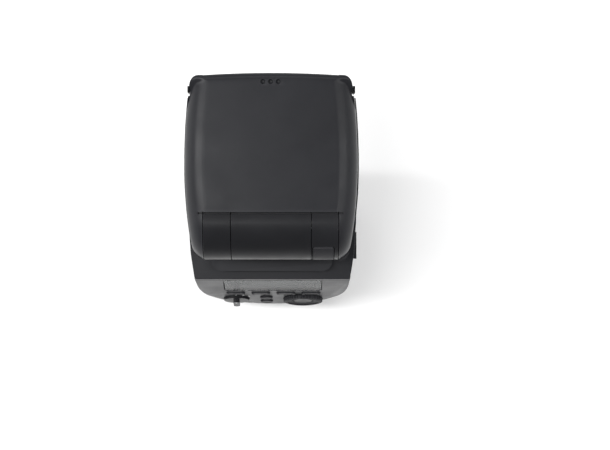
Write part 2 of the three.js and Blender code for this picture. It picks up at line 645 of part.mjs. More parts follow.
function makeHeadInside() {
  const [slotLow] = SLOT_Z;
  const wide = extrudeZ(roundedRect(-26, 26, -59.6, -23, 2), slotLow + 0.3, slotLow + 1.3, 3);
  add("wide_panel", wide, clearPlastic);
  const catchlight = roundedRect(-25, 25, -60.1, -22.6, 2);
  add("catchlight_panel", extrudeZ(catchlight, slotLow + 1.7, slotLow + 2.6, 3), whitePlastic);

  // The flash tube sits in a trough-shaped reflector that the zoom screw carries along Y.
  const [low, high] = LENS_Z;
  const tubeZ = (low + high) / 2;
  const trough = (half, back) => {
    const shape = new THREE.Shape();
    shape.moveTo(-42, tubeZ - half);
    shape.bezierCurveTo(-30, tubeZ - half + 1, back, tubeZ - 7, back, tubeZ);
    shape.bezierCurveTo(back, tubeZ + 7, -30, tubeZ + half - 1, -42, tubeZ + half);
    return shape;
  };
  let reflector = extrudeX(trough(12.2, -22), -25.6, 25.6, 6);
  reflector = reflector.subtract(extrudeX(trough(11.4, -22.9), -24.8, 24.8, 6));
  reflector = reflector.subtract(box(-24.8, 24.8, -45, -41.2, tubeZ - 11.4, tubeZ + 11.4));
  const screwX = 29.2;
  const railZ = 84;
  const railFront = HEAD_FRONT + BEZEL_DEPTH + GAP;
  for (const side of [-1, 1]) {
    const ear = [25.2 * side, 31.2 * side].sort((a, b) => a - b);
    reflector = reflector.add(box(...ear, -37, -34, railZ - 2.4, railZ + 2.4));
  }
  reflector = reflector.subtract(barX(2.5, -40, 40, -27, tubeZ));
  for (const side of [-1, 1]) {
    reflector = reflector.subtract(barY(1.3, -60, -20, side * screwX, railZ, 12));
  }
  add("reflector", reflector, reflectorSilver);
  add("flash_tube", barX(2.2, -27.6, 27.6, -27, tubeZ), clearPlastic);
  add("zoom_motor", barY(3, -30.6, -20, screwX, railZ), steel);
  add("lead_screw", barY(1, railFront, -31, screwX, railZ, 12), steel);
  add("guide_rod", barY(1, railFront, -20, -screwX, railZ, 12), steel);
}

makeFoot();
makeBody();
makeDoor();
makePanelPieces();
makeInside();
makeYoke();
makeHeadShells();
makeHeadInside();

export default part;
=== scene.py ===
"""Speedlight flash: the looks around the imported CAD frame. Shapes are drawn in millimetres."""
import math

import bmesh
import bpy
from mathutils import Matrix, Vector


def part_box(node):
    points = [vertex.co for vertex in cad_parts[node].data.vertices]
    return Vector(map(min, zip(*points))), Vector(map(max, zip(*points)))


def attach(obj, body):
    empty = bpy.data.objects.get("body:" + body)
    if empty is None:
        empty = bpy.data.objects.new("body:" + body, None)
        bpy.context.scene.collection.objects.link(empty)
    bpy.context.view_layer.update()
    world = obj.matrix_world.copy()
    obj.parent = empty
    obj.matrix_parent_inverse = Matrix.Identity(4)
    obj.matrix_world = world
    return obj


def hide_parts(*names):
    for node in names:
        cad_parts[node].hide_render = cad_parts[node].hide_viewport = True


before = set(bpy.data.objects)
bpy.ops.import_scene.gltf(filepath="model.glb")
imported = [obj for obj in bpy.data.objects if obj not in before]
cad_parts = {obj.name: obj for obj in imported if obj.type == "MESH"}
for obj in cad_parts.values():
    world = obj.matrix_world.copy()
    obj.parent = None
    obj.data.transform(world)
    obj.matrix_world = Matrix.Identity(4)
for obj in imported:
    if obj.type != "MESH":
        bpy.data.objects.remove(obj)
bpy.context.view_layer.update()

MM = 0.001
TAU = 2 * math.pi

# ---- Sizes that the pieces share, in the frame's own axes ------------------------------------------
TILT_Z = 99.3           # height of the bounce axis
DRUM_R = 15.2
CHEEK_R = 15.6          # the head's cheeks stand a little proud of the drum
DRUM_HALF = 27.4
CHEEK_IN = 27.7         # inner face of a cheek
AXLE_ROOM = 3.3         # radius of the bores round the tilt axle
SEAM_LEFT, SEAM_RIGHT = 16.2, -16.5
SEAM = 0.12             # half the gap between two lengths of the drum, or two halves of a shell
GROOVE_Y = (-4.15, -3.35)   # the groove across the drum, along the head's rear edge
HEAD_TOP = TILT_Z + CHEEK_R
HEAD_FRONT = -60.8
HEAD_LOW = 75.6
PARTING = 93.0
BEZEL_BACK = -51.6
ROOF_UNDER = 112.0
ROOF_HALF = 27.4        # half the roof's flat underside, over the lens frame
LENS_X, LENS_Z = 29.2, (79.3, 106.9)
LUG_Y, LUG_Z = (-56.4, -53.6), (86, 98)
FAR = 130               # beyond the object on every side, for tools that cut right through
BODY_LOW, BODY_TOP, DECK_LOW = 15.0, 71.5, 69.3
SPLIT_Y = 2.0
WALL = 1.8
PANEL_LOW, PANEL_HIGH = (36.0, 22.0), (24.0, 71.5)   # y, z of the control panel's ends
RELEASE_X, RELEASE_HALF = (-25.6, -17.2), 8.3        # the button in the drum's right end
RELEASE_TILT = math.radians(15)
COVER_IN, COVER_REAR, COVER_TOP = -28.6, 20, 66      # the battery cover's inner face, rear and top edge
DOOR_HINGE, DOOR_KNUCKLE = (-32.0, -18.5), 3.25


def node_box(name):
    """A CAD node's box in millimetres: (x0, x1, y0, y1, z0, z1)."""
    low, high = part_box(name)
    return [value / MM for pair in zip(low, high) for value in pair]


# ---- Mesh helpers -----------------------------------------------------------------------------------
def new_object(name, verts, faces):
    mesh = bpy.data.meshes.new(name)
    mesh.from_pydata([Vector(v) * MM for v in verts], [], faces)
    bm = bmesh.new()
    bm.from_mesh(mesh)
    bmesh.ops.remove_doubles(bm, verts=bm.verts, dist=1e-6)
    bmesh.ops.recalc_face_normals(bm, faces=bm.faces)
    bm.to_mesh(mesh)
    bm.free()
    mesh.shade_smooth()
    obj = bpy.data.objects.new(name, mesh)
    bpy.context.scene.collection.objects.link(obj)
    return obj


def bake(obj):
    """Applies the object's modifiers to its mesh."""
    depsgraph = bpy.context.evaluated_depsgraph_get()
    mesh = bpy.data.meshes.new_from_object(obj.evaluated_get(depsgraph))
    old = obj.data
    obj.modifiers.clear()
    obj.data = mesh
    bpy.data.meshes.remove(old)
    return obj


def combine(obj, tool, operation):
    modifier = obj.modifiers.new("join", "BOOLEAN")
    modifier.operation = operation
    modifier.solver = "MANIFOLD"
    modifier.object = tool
    bake(obj)
    bpy.data.objects.remove(tool)
    return obj


def cut(obj, *tools):
    for tool in tools:
        combine(obj, tool, "DIFFERENCE")
    return obj


def keep(obj, *tools):
    for tool in tools:
        combine(obj, tool, "INTERSECT")
    return obj


def join(obj, *tools):
    for tool in tools:
        combine(obj, tool, "UNION")
    return obj


def soften(obj, width, segments=3, angle=32):
    """Rounds the hard edges and smooths the shading, like the draft and radii of a moulding."""
    obj.data.shade_smooth()
    obj.data.set_sharp_from_angle(angle=math.radians(angle))
    bevel = obj.modifiers.new("edge", "BEVEL")
    bevel.width = width * MM
    bevel.segments = segments
    bevel.limit_method = "ANGLE"
    bevel.angle_limit = math.radians(angle)
    bevel.use_clamp_overlap = True
    bevel.harden_normals = True
    return bake(obj)


# Outlines are lists of (u, v) points, drawn in the two axes across the direction of the prism.
PLANES = {
    "X": lambda u, v, w: (w, u, v),
    "Y": lambda u, v, w: (u, w, v),
    "Z": lambda u, v, w: (u, v, w),
}


def prism(name, outline, low, high, along="Z"):
    """The outline drawn out from low to high."""
    place = PLANES[along]
    count = len(outline)
    verts = [place(u, v, w) for w in (low, high) for u, v in outline]
    faces = [tuple(range(count)), tuple(range(count, 2 * count))]
    faces += [(i, (i + 1) % count, count + (i + 1) % count, count + i) for i in range(count)]
    return new_object(name, verts, faces)


def block(x0, x1, y0, y1, z0, z1):
    return prism("block", [(x0, y0), (x1, y0), (x1, y1), (x0, y1)], z0, z1)


def mirrored(half):
    """An outline from its right half."""
    return half + [(-u, v) for u, v in reversed(half)]


def turned(name, profile, along="Z", centre=(0, 0), segments=72):
    """A solid of revolution: profile is [(radius, distance)], and centre is across the axis."""
    place = PLANES[along]
    verts, rows = [], []
    for radius, distance in profile:
        if radius < 1e-6:
            rows.append([len(verts)] * segments)
            verts.append(place(centre[0], centre[1], distance))
            continue
        rows.append(list(range(len(verts), len(verts) + segments)))
        for i in range(segments):
            angle = TAU * i / segments
            u = centre[0] + radius * math.cos(angle)
            v = centre[1] + radius * math.sin(angle)
            verts.append(place(u, v, distance))
    faces = []
    for a, b in zip(rows, rows[1:]):
        for i in range(segments):
            j = (i + 1) % segments
            face = list(dict.fromkeys((a[i], a[j], b[j], b[i])))
            if len(face) > 2:
                faces.append(tuple(face))
    return new_object(name, verts, faces)


def bar(radius, low, high, along="Z", centre=(0, 0), name="bar", segments=72):
    return turned(name, [(0, low), (radius, low), (radius, high), (0, high)], along, centre, segments)


def fillet_loop(corners, inset=0.0, arc_steps=10, edge_steps=1):
    """The closed loop of a convex polygon [(u, v, radius)] (anticlockwise), moved inwards by inset."""
    count = len(corners)
    points = [Vector(corner[:2]) for corner in corners]
    ways = [(points[(i + 1) % count] - points[i]).normalized() for i in range(count)]
    lefts = [Vector((-way.y, way.x)) for way in ways]
    loop = []
    for i in range(count):
        a, b = ways[i - 1], ways[i]
        turn = math.atan2(a.x * b.y - a.y * b.x, a.dot(b))
        corner = points[i] + (lefts[i - 1] + lefts[i]) * (inset / (1 + a.dot(b)))
        radius = max(corners[i][2] - inset, min(corners[i][2], 0.6))
        start = corner - a * radius * math.tan(turn / 2)
        centre = start + lefts[i - 1] * radius
        arm = start - centre
        for k in range(arc_steps + 1):
            angle = turn * k / arc_steps
            c, s = math.cos(angle), math.sin(angle)
            loop.append(centre + Vector((arm.x * c - arm.y * s, arm.x * s + arm.y * c)))
    if edge_steps < 2:
        return [tuple(p) for p in loop]
    fine = []
    for i, point in enumerate(loop):
        fine.append(tuple(point))
        if i % (arc_steps + 1) == arc_steps:
            after = loop[(i + 1) % len(loop)]
            fine += [tuple(point.lerp(after, k / edge_steps)) for k in range(1, edge_steps)]
    return fine


def round_rect(u0, u1, v0, v1, radius, arc_steps=8):
    return fillet_loop([(u0, v0, radius), (u1, v0, radius), (u1, v1, radius), (u0, v1, radius)], 0, arc_steps)


# ---- Materials --------------------------------------------------------------------------------------
class Nodes:
    """A node tree with short calls for the few nodes that the materials use."""

    def __init__(self, name):
        self.material = bpy.data.materials.new(name)
        self.material.use_nodes = True
        self.tree = self.material.node_tree
        self.shader = self.tree.nodes["Principled BSDF"]
        self.coords = self.add("ShaderNodeTexCoord").outputs["Object"]

    def add(self, kind, **inputs):
        node = self.tree.nodes.new(kind)
        for key, value in inputs.items():
            self.put(node.inputs[key.replace("_", " ")], value)
        return node

    def put(self, socket, value):
        if isinstance(value, bpy.types.NodeSocket):
            self.tree.links.new(value, socket)
        else:
            socket.default_value = value

    def noise(self, scale, detail=3.0, roughness=0.55):
        node = self.add("ShaderNodeTexNoise", Scale=scale, Detail=detail, Roughness=roughness)
        self.put(node.inputs["Vector"], self.coords)
        return node.outputs["Fac"]

    def voronoi(self, scale, randomness=1.0):
        node = self.add("ShaderNodeTexVoronoi", Scale=scale, Randomness=randomness)
        self.put(node.inputs["Vector"], self.coords)
        return node.outputs["Distance"]

    def remap(self, value, low, high, start=0.0, end=1.0):
        node = self.add("ShaderNodeMapRange")
        self.put(node.inputs["Value"], value)
        for key, number in (("From Min", start), ("From Max", end), ("To Min", low), ("To Max", high)):
            node.inputs[key].default_value = number
        return node.outputs["Result"]

    def ramp(self, value, low, high, start=0.3, end=0.7):
        node = self.add("ShaderNodeValToRGB")
        node.color_ramp.elements[0].position = start
        node.color_ramp.elements[1].position = end
        node.color_ramp.elements[0].color = (*low, 1)
        node.color_ramp.elements[1].color = (*high, 1)
        self.put(node.inputs["Fac"], value)
        return node.outputs["Color"]

    def mix(self, fac, a, b):
        node = self.add("ShaderNodeMix")
        node.data_type = "RGBA"
        self.put(node.inputs[0], fac)
        self.put(node.inputs[6], a)
        self.put(node.inputs[7], b)
        return node.outputs[2]

    def edges(self, low=0.53, high=0.62):
        """One where the surface is strongly convex: the mask for edge wear and a painted edge highlight."""
        pointiness = self.add("ShaderNodeNewGeometry").outputs["Pointiness"]
        return self.remap(pointiness, 0, 1, low, high)

    def bump(self, height, distance, strength=1.0, under=None):
        node = self.add("ShaderNodeBump", Strength=strength, Distance=distance)
        self.put(node.inputs["Height"], height)
        if under:
            self.put(node.inputs["Normal"], under)
        return node.outputs["Normal"]

    def finish(self, **inputs):
        for key, value in inputs.items():
            self.put(self.shader.inputs[key.replace("_", " ")], value)
        return self.material


def grained_plastic(name, dark, light, rough, grain=2600, depth=0.00003, wear_and_highlight=0.05):
    """Moulded plastic: fine spark-eroded grain, slight cloudiness, and convex edges lightened by wear and a
    painted highlight.
    """
    n = Nodes(name)
    cloud = n.noise(38, 4)
    colour = n.ramp(cloud, dark, light)
    # Painted highlight and edge wear: the convex edges take a lighter colour.
    worn_and_lit = tuple(channel + wear_and_highlight for channel in light)
    colour = n.mix(n.edges(), colour, (*worn_and_lit, 1))
    speckle = n.noise(grain, 2, 0.6)
    fine = n.bump(speckle, depth, 0.55)
    normal = n.bump(n.noise(220, 2), 0.00004, 0.12, fine)
    roughness = n.remap(n.noise(90, 5), rough - 0.05, rough + 0.06, 0.3, 0.7)
    return n.finish(Base_Color=colour, Roughness=roughness, Normal=normal, IOR=1.22)


def metal(name, dark, light, rough, stretch=(1, 1, 1), grain=900):
    """Metal with drawn or turned lines along the axis that is stretched."""
    n = Nodes(name)
    mapping = n.add("ShaderNodeMapping")
    n.put(mapping.inputs["Vector"], n.coords)
    mapping.inputs["Scale"].default_value = stretch
    n.coords = mapping.outputs["Vector"]
    lines = n.noise(grain, 3, 0.65)
    colour = n.ramp(lines, dark, light, 0.25, 0.75)
    roughness = n.remap(lines, rough - 0.06, rough + 0.1, 0.3, 0.7)
    return n.finish(Base_Color=colour, Metallic=1.0, Roughness=roughness, Normal=n.bump(lines, 0.00001, 0.3))


def clear(name, tint, rough, ior=1.49, depth=0.00002, grain=1500):
    """Transparent plastic or glass, slightly wavy and hazy."""
    n = Nodes(name)
    haze = n.remap(n.noise(60, 3), rough, rough + 0.05, 0.3, 0.7)
    normal = n.bump(n.noise(grain, 1), depth, 0.15)
    colour = n.ramp(n.noise(25, 2), tint, tuple(min(1.0, channel * 1.03) for channel in tint))
    return n.finish(Base_Color=colour, Roughness=haze, Normal=normal, Transmission_Weight=1.0, IOR=ior)


def painted(name, dark, light, rough, scale=120, grain=1200):
    """Smooth pigmented plastic, wrap or solder mask with faint mottling."""
    n = Nodes(name)
    colour = n.ramp(n.noise(scale, 3), dark, light)
    roughness = n.remap(n.noise(scale * 2, 2), rough - 0.04, rough + 0.05, 0.3, 0.7)
    return n.finish(Base_Color=colour, Roughness=roughness, Normal=n.bump(n.noise(grain, 2), 0.00001, 0.2))


# The last number of each plastic lightens its convex edges: edge wear and a painted highlight.
SHELL = grained_plastic(
    "shell_plastic", (0.0125, 0.0128, 0.0150), (0.0160, 0.0164, 0.0190), 0.34, wear_and_highlight=0.003)
DRUM = grained_plastic(
    "drum_plastic", (0.0090, 0.0092, 0.0105), (0.0120, 0.0122, 0.0140), 0.35, 3200, 0.00002, 0.003)
TRIM = grained_plastic(
    "trim_plastic", (0.0070, 0.0071, 0.0082), (0.0095, 0.0096, 0.0110), 0.34, 3400, 0.00002, 0.003)
BUTTON = grained_plastic(
    "button_plastic", (0.014, 0.014, 0.016), (0.020, 0.020, 0.023), 0.52, 1800, 0.00003, 0.02)
INNER = grained_plastic(
    "inner_plastic", (0.008, 0.008, 0.009), (0.012, 0.012, 0.013), 0.6, 1500, 0.00003, 0.01)
STEEL = metal("brushed_steel", (0.48, 0.49, 0.51), (0.66, 0.67, 0.69), 0.3, (1, 12, 12))
GOLD = metal("contact_brass", (0.70, 0.50, 0.20), (0.86, 0.66, 0.30), 0.22, (1, 1, 8))
MIRROR = metal("reflector_metal", (0.80, 0.81, 0.82), (0.90, 0.91, 0.92), 0.12, (1, 10, 10), 500)
LENS = clear("fresnel_plastic", (0.93, 0.96, 0.97), 0.10)
DIFFUSER = clear("wide_panel_plastic", (0.92, 0.95, 0.96), 0.18)
TUBE = clear("tube_glass", (0.97, 0.98, 1.0), 0.03, 1.5)
GLASS = clear("display_glass", (0.30, 0.32, 0.32), 0.16, 1.10)
RED = clear("red_lens", (0.42, 0.012, 0.015), 0.06)
WHITE = painted("white_plastic", (0.78, 0.78, 0.76), (0.86, 0.86, 0.84), 0.4)
DISPLAY = painted("display_cell", (0.045, 0.058, 0.049), (0.057, 0.072, 0.060), 0.5)
BOARD = painted("circuit_board", (0.012, 0.075, 0.032), (0.02, 0.12, 0.05), 0.35, 60)
WRAP = painted("cell_wrap", (0.60, 0.58, 0.52), (0.70, 0.68, 0.62), 0.3)
SLEEVE = painted("capacitor_sleeve", (0.012, 0.012, 0.018), (0.02, 0.02, 0.03), 0.3)
MARK = painted("mark_paint", (0.55, 0.55, 0.56), (0.68, 0.68, 0.69), 0.5)


def piece(obj, name, material, body, slot, *nodes):
    """Names a finished piece, gives it its material and hangs it on its CAD body."""
    obj.name = name
    obj.data.name = name
    obj.data.materials.clear()
    obj.data.materials.append(material)
    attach(obj, body)
    if nodes:
        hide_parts(*nodes)
    return obj


# ---- The head's outer form --------------------------------------------------------------------------
# Each shoulder as (width, depth, fullness), for the faces that look up, back, forwards and down. A fullness
# of 1 is an ellipse, less is squarer, and more is closer to a chamfer.
SHOULDERS = ((7.2, 8.6, 1.28), (6.8, 6.2, 0.95), (3.0, 3.6, 0.95), (5.0, 4.5, 1.0))
WAIST_Y = -24           # where the head is widest
CENTRE_Z = 95           # mid-height of its sides
HEAD_HALF = 35.8


def head_side(front, low_corner=(-27.0, HEAD_LOW)):
    """The head from the side, (y, z, radius): its rear is round about the bounce axis."""
    y, z = low_corner
    reach = math.hypot(y, TILT_Z - z)
    rise = math.atan2(TILT_Z - z, -y) - math.asin(CHEEK_R / reach)
    rear_low = z + math.tan(rise) * (CHEEK_R - y)
    return [
        (front, HEAD_LOW + 2.4, 3.0), (y, z, 14.0), (CHEEK_R, rear_low, CHEEK_R),
        (CHEEK_R, HEAD_TOP, CHEEK_R), (front, HEAD_TOP - 0.9, 3.0),
    ]


def clamp(value, low=0.0, high=1.0):
    return max(low, min(high, value))


def head_half_width(y, z, grow):
    """Widest half way along, narrower towards both ends, with draft away from the parting line."""
    curve = 0.0017 if y < WAIST_Y else 0.0026
    draft = 0.045 * (z - PARTING) if z > PARTING else 0.06 * (PARTING - z)
    return HEAD_HALF + grow - curve * (y - WAIST_Y) ** 2 - draft


def head_form(name, grow=0.0, front=HEAD_FRONT):
    """A closed solid: the side outline swept across the head, with elliptical shoulders at both sides."""
    step = 0.9          # between the outlines that the shoulders are drawn through
    levels = [fillet_loop(head_side(front), step * k, 10, 40) for k in range(12)]
    spine = levels[0]
    count = len(spine)
    start = math.atan2(spine[0][1] - CENTRE_Z, spine[0][0] - WAIST_Y)
    shoulders = []
    for i in range(count):
        along = Vector(spine[(i + 1) % count]) - Vector(spine[i - 1])
        out = Vector((along.y, -along.x)).normalized()
        shares = [max(way, 0) ** 2 for way in (out.y, out.x, -out.x, -out.y)]
        shoulders.append([
            sum(share * size for share, size in zip(shares, sizes)) for sizes in zip(*SHOULDERS)
        ])

    def at_inset(i, inset):
        k = min(int(inset / step), len(levels) - 2)
        return Vector(levels[k][i]).lerp(Vector(levels[k + 1][i]), inset / step - k)

    def settle(x, y, z):
        """Bows the front edge back and the top edge down towards both sides."""
        reach = (x / 33) ** 2
        return (x, y + 1.1 * reach * clamp((-45 - y) / 12), z - 0.5 * reach * clamp((z - 104) / 8))

    def ring(side, turn=None, scale=1.0, span=1.0):
        """One loop: across the flat part by span, over a shoulder by turn, or on a side by scale."""
        points = []
        for i in range(count):
            across, inward, fullness = shoulders[i]
            if turn is None:
                y, z = spine[i]
                x = span * (head_half_width(y, z, grow) - across)
            else:
                y, z = at_inset(i, inward * (1 - math.cos(turn) ** fullness))
                if scale < 1:
                    around = start + TAU * i / count
                    bulge = 14 * (1 - scale) * scale
                    y = (y - WAIST_Y) * scale + bulge * math.cos(around) + WAIST_Y
                    z = (z - CENTRE_Z) * scale + bulge * math.sin(around) + CENTRE_Z
                x = side * (head_half_width(y, z, grow) - across * (1 - math.sin(turn) ** fullness))
            points.append(settle(x, y, z))
        return points

    turns, spans = 18, 40
    scales = [1 - 0.0475 * k for k in range(1, 21)]
    rings = [ring(-1, math.pi / 2, scale) for scale in reversed(scales)]
    rings += [ring(-1, math.pi / 2 * k / turns) for k in range(turns, 0, -1)]
    rings += [ring(1, span=-1 + 2 * k / spans) for k in range(spans + 1)]
    rings += [ring(1, math.pi / 2 * k / turns) for k in range(1, turns + 1)]
    rings += [ring(1, math.pi / 2, scale) for scale in scales]
    verts = [v for points in rings for v in points]
    faces = [tuple(range(count)), tuple(range(len(verts) - count, len(verts)))]
    for r in range(len(rings) - 1):
        for i in range(count):
            a, b = r * count + i, r * count + (i + 1) % count
            faces.append((a, b, b + count, a + count))
    return new_object(name, verts, faces)


def arc(radius, start, end, steps, centre=(0.0, TILT_Z)):
    """Points on an arc in degrees, from start to end."""
    points = []
    for k in range(steps + 1):
        angle = math.radians(start + (end - start) * k / steps)
        points.append((centre[0] + radius * math.cos(angle), centre[1] + radius * math.sin(angle)))
    return points


def fork():
    """The room between the cheeks, where the drum sits."""
    r = DRUM_R + 0.25
    edge = -4.2         # the roof's rear edge
    start = math.degrees(math.acos(edge / r))
    outline = [(edge, FAR)] + arc(r, start, 180, 24) + [(-r, 70), (FAR, 70), (FAR, FAR)]
    return prism("fork", outline, -CHEEK_IN, CHEEK_IN, "X")


def cavity():
    """The hollow that holds the zoom carriage and both panels."""
    half, low, shoulder = 31.5, 80, 106.5
    outline = mirrored([(half, low), (half, shoulder), (27, ROOF_UNDER)])
    return prism("cavity", outline, -FAR, -19, "Y")


def bezel_room(gap, back):
    """The room of the lens frame: the roof and its shoulders reach over it to the front edge."""
    side, top = 107.6 - gap, ROOF_UNDER - gap
    outline = mirrored([(FAR, 0), (FAR, side), (31 - gap, side), (ROOF_HALF, top)])
    return prism("room", outline, -FAR, back, "Y")


def dimple(x):
    """A finger dimple in the roof, beside the front edge."""
    cone = [(0, -1.9), (0.55, -1.85), (1.0, -1.2), (1.1, 2), (0, 2)]
    cone = [(radius, HEAD_TOP + rise) for radius, rise in cone]
    return turned("dimple", cone, centre=(x, -57.0), segments=24)


def make_head_shells():
    halves = (("head_top", PARTING + 0.1, FAR, 0.0), ("head_bottom", 60, PARTING - 0.1, 0.45))
    for name, low, high, grow in halves:
        shell = keep(head_form(name, grow), block(-FAR, FAR, -FAR, FAR, low, high))
        cut(shell, fork(), cavity())
        cut(shell, bezel_room(0, BEZEL_BACK))
        cut(shell, bar(AXLE_ROOM, -32, 32, "X", (0, TILT_Z), segments=32))
        if low > PARTING:
            cut(shell, *[dimple(x) for x in (-3.1, 0, 3.1)])
            cut(shell, block(-29.6, 29.6, *GROOVE_Y, 111.3, FAR))
        soften(shell, 0.2)
        piece(shell, name, SHELL, "head", "body_plastic", name + "_shell")


def make_lens():
    bezel = keep(head_form("bezel", -1.1, HEAD_FRONT + 0.6), bezel_room(0.3, BEZEL_BACK - 0.2))
    low, high = LENS_Z
    cut(bezel, prism("mouth", round_rect(-28.2, 28.2, low + 0.9, high - 0.3, 2.5), -FAR, 0, "Y"))
    cut(bezel, prism("seat", round_rect(-29.6, 29.6, low - 0.3, high + 0.3, 2.0), -58.4, 0, "Y"))
    cut(bezel, prism("slot", round_rect(-26.6, 26.6, 108.0, 110.9, 0.8), -FAR, 0, "Y"))
    for side in (-1, 1):
        places = sorted((side * 31.8, side * 34.6))
        join(bezel, prism("lug", round_rect(*LUG_Y, *LUG_Z, 1.3), *places, along="X"))
    soften(bezel, 0.3)
    piece(bezel, "lens_frame", TRIM, "head", "trim_plastic", "lens_bezel")

    front, rear, rim, teeth = -57.9, -56.3, 1, 24
    pitch = (high - low - 2 * rim) / teeth
    ridges = [(front, high), (front, high - rim)]
    for k in range(teeth):
        z = high - rim - pitch * k
        lean = (k + 0.5 - teeth / 2) / teeth
        if lean < 0:
            ridges += [(front, z - 0.15 * pitch), (front - 0.7 * lean, z - pitch)]
        else:
            ridges += [(front + 0.7 * lean, z), (front, z - 0.85 * pitch)]
    ridges += [(front, low), (rear, low), (rear, high)]
    lens = prism("lens", ridges, -LENS_X, LENS_X, "X")
    soften(lens, 0.04, 1)
    piece(lens, "lens_fresnel", LENS, "head", "clear_lens", "fresnel_lens")


def make_panels():
    card = prism("card", round_rect(-25, 25, -60.1, -22.6, 2), 109.7, 110.6)
    cut(card, bar(7, 109, 110.0, centre=(0, -63.6), segments=64))
    for k in range(-3, 4):
        x = 1.5 * k
        join(card, prism("rib", round_rect(x - 0.3, x + 0.3, -55.5, -52, 0.29, 4), 110.5, 110.75))
    soften(card, 0.15)
    piece(card, "catchlight_card", WHITE, "catchlight", "white_plastic", "catchlight_panel")

    half, teeth = 24.8, 62
    low, crest, top = 108.55, 108.85, 109.3
    pitch = 2 * half / teeth
    outline = [(half, top), (-half, top), (-half, low)]
    for k in range(teeth):
        x = -half + pitch * k
        outline += [(x + 0.5 * pitch, crest), (x + pitch, low)]
    sheet = prism("sheet", outline, -58.4, -24, "Y")
    rim = prism("rim", round_rect(-26, 26, -59.6, -23, 2), 108.4, top)
    cut(rim, prism("window", round_rect(-24.6, 24.6, -57.6, -25, 1.2), 100, 120))
    join(sheet, rim)
    piece(soften(sheet, 0.1, 2), "diffuser_sheet", DIFFUSER, "diffuser", "clear_lens", "wide_panel")


# ---- Yoke -------------------------------------------------------------------------------------------
def drum_part(name, x0, x1):
    """A length of the drum, with the axle's bore and the groove along the head's rear edge."""
    part = bar(DRUM_R, x0, x1, "X", (0, TILT_Z), name, segments=128)
    groove = block(x0 - 1, x1 + 1, *GROOVE_Y, TILT_Z + DRUM_R - 3.2, TILT_Z + DRUM_R + 1)
    return cut(part, bar(AXLE_ROOM, -40, 40, "X", (0, TILT_Z), segments=32), groove)


def pressed(obj):
    """Turns a piece that was drawn along +Y to the release button's pressing direction."""
    place = Matrix.Translation((0, 0, TILT_Z * MM))
    obj.data.transform(place @ Matrix.Rotation(RELEASE_TILT, 4, "X") @ place.inverted())
    return obj


def release_block(clearance, depth, radius):
    """The release button's outline, from its depth in the drum out past the surface."""
    x0, x1 = RELEASE_X
    half = RELEASE_HALF + clearance
    outline = round_rect(x0 - clearance, x1 + clearance, TILT_Z - half, TILT_Z + half, radius)
    return pressed(prism("pocket", outline, depth, 20, "Y"))


def make_yoke():
    middle = drum_part("drum", SEAM_RIGHT + SEAM, SEAM_LEFT - SEAM)
    piece(soften(middle, 0.22), "drum_middle", DRUM, "yoke", "body_plastic", "yoke_drum")
    left = drum_part("drum", SEAM_LEFT + SEAM, DRUM_HALF)
    piece(soften(left, 0.22), "drum_left", DRUM, "yoke", "body_plastic", "drum_cap_left")
    right = drum_part("drum", -DRUM_HALF, SEAM_RIGHT - SEAM)
    cut(right, release_block(0.3, 9.8, 0.9))
    piece(soften(right, 0.2), "drum_right", DRUM, "yoke", "body_plastic", "drum_cap_right")

    button = bar(DRUM_R + 0.1, *RELEASE_X, "X", (0, TILT_Z), segments=128)
    keep(button, release_block(0, 11.3, 0.7))
    soften(button, 0.35)
    piece(button, "release_button", BUTTON, "tilt_release", "trim_plastic", "tilt_release_button")

    plate = prism("plate", round_rect(-25.5, 25.5, -20.5, 20.5, 4.2, 12), 71.9, 75)
    join(plate, prism("neck", round_rect(-25.0, 25.0, -13.6, 14.6, 4, 12), 74, 92))
    cut(plate, bar(DRUM_R + 0.3, -40, 40, "X", (0, TILT_Z), segments=128))
    join(plate, bar(9.7, 69.6, 72.9))
    cut(plate, bar(4, 60, 90))
    piece(soften(plate, 0.8, 4), "yoke_cradle", SHELL, "yoke", "body_plastic", "yoke_base")


# ---- Body -------------------------------------------------------------------------------------------
def body_plan(inset):
    """The body's outline from above: slightly bowed sides and a bowed rear."""
    right = [(34.1, -25.0, 7), (35.8, -3.0, 50), (34.8, 13.0, 60), (32.0, 30.9, 7), (20.0, 35.4, 40)]
    left = [(-x, y, radius) for x, y, radius in reversed(right)]
    return fillet_loop(right + [(0.0, 36.7, 150)] + left, inset, 12)


def body_side(inset):
    (y0, z0), (y1, z1) = PANEL_LOW, PANEL_HIGH
    lean = (y1 - y0) / (z1 - z0)
    top = BODY_TOP + 20
    corners = [
        (-25.0, BODY_LOW, 5), (y0 - lean * (z0 - BODY_LOW), BODY_LOW, 4.5), (y0 + lean * (top - z0), top, 1),
        (-25.0, top, 1),
    ]
    return fillet_loop(corners, inset)


def body_form(name, inset=0.0, top=BODY_TOP):
    plan = prism(name, body_plan(inset), BODY_LOW - 1, top)
    return keep(plan, prism("side", body_side(inset), -50, 50, "X"))


SLOPE = math.atan2(PANEL_LOW[0] - PANEL_HIGH[0], PANEL_HIGH[1] - PANEL_LOW[1])
PANEL = Matrix((
    (-1, 0, 0, 0),
    (0, -math.sin(SLOPE), math.cos(SLOPE), (PANEL_LOW[0] + PANEL_HIGH[0]) / 2 * MM),
    (0, math.cos(SLOPE), math.sin(SLOPE), (PANEL_LOW[1] + PANEL_HIGH[1]) / 2 * MM),
    (0, 0, 0, 1),
))


def on_panel(obj):
    """From the panel's own axes (right, up, outwards) to the frame's."""
    obj.data.transform(PANEL)
    return obj


DISPLAY_BOX = (-21, 21, 1.5, 22)
KEYS_X = (-16.5, -5.5, 5.5, 16.5)
DIAL, DIAL_R, SET_R = (13, -16), 8.6, 4.4
POWER, POWER_R = (-16.5, -15.5), 5.6
CAPS = (("test_button", "test_key", (-3.2, -12.4)), ("wireless_button", "wireless_key", (-3.2, -20.2)))
CAP_R = 2.7


